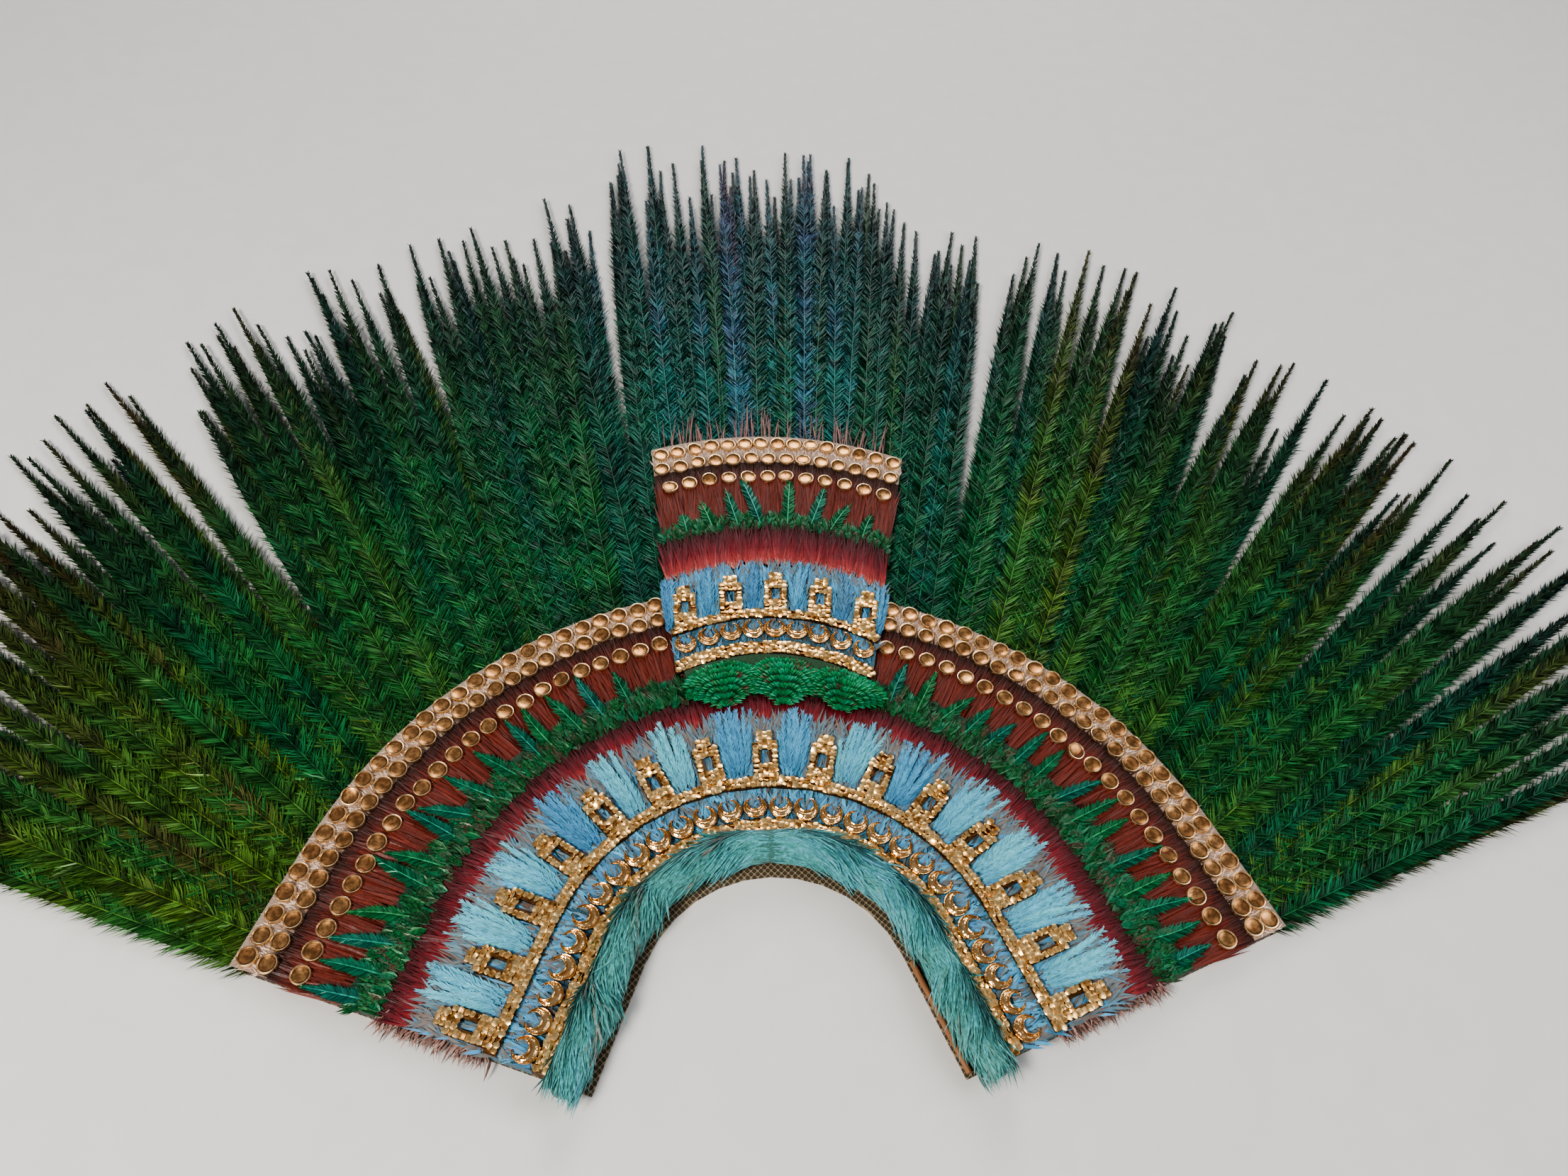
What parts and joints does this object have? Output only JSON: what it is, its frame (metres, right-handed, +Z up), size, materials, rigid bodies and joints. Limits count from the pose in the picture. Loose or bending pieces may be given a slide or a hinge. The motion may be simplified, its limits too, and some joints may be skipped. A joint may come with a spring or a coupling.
{
  "type": "feathered headdress",
  "caption": "Fan-shaped headdress of long green plumes behind a horseshoe of coloured feather bands with gold cups, crescents and stepped figures, and a raised middle tongue.",
  "frame": {"origin": "on the surface that the headdress lies on, under the middle of its bounding box", "axes": "+X to the right as its face is seen with the plumes away from the viewer, +Y from the head's opening to the plume tips, +Z up out of its face"},
  "size_m": [1.753, 1.159, 0.0288],
  "materials": {
    "plume_green": "glossy iridescent green feather",
    "leaf_green": "glossy green feather",
    "rufous_feather": "matt red-brown feather",
    "tape": "pale fuzzy tape",
    "red_feather": "matt crimson feather",
    "blue_feather": "silky blue feather",
    "turquoise_down": "soft turquoise-green feather",
    "gold": "polished gold",
    "net": "coarse knotted net",
    "reed": "smooth cane"
  },
  "bodies": {
    "root": {"plumes_left": "plume_green", "plumes_crown": "plume_green", "plumes_right": "plume_green", "backing": "net", "tongue_backing": "net", "brow_roll": "turquoise_down", "edge_reed": "reed", "gold_edge_main": "gold", "gold_frieze_main": "gold", "blue_band_main": "blue_feather", "red_band_main": "red_feather", "green_band_main": "leaf_green", "brown_band_main": "rufous_feather", "rim_band_main": "tape", "green_crest": "leaf_green", "gold_edge_tongue": "gold", "gold_frieze_tongue": "gold", "blue_band_tongue": "blue_feather", "red_band_tongue": "red_feather", "green_band_tongue": "leaf_green", "brown_band_tongue": "rufous_feather", "rim_band_tongue": "tape", "crescent_main_01": "gold", "crescent_main_02": "gold", "crescent_main_03": "gold", "crescent_main_04": "gold", "crescent_main_05": "gold", "crescent_main_06": "gold", "crescent_main_07": "gold", "crescent_main_08": "gold", "crescent_main_09": "gold", "crescent_main_10": "gold", "crescent_main_11": "gold", "crescent_main_12": "gold", "crescent_main_13": "gold", "crescent_main_14": "gold", "crescent_main_15": "gold", "crescent_main_16": "gold", "crescent_main_17": "gold", "crescent_main_18": "gold", "crescent_main_19": "gold", "crescent_main_20": "gold", "crescent_main_21": "gold", "crescent_main_22": "gold", "crescent_main_23": "gold", "crescent_main_24": "gold", "crescent_main_25": "gold", "crescent_main_26": "gold", "crescent_main_27": "gold", "crescent_main_28": "gold", "crescent_tongue_1": "gold", "crescent_tongue_2": "gold", "crescent_tongue_3": "gold", "crescent_tongue_4": "gold", "crescent_tongue_5": "gold", "crescent_tongue_6": "gold", "crescent_tongue_7": "gold", "crescent_tongue_8": "gold", "crescent_tongue_9": "gold"}
  },
  "joints": []
}
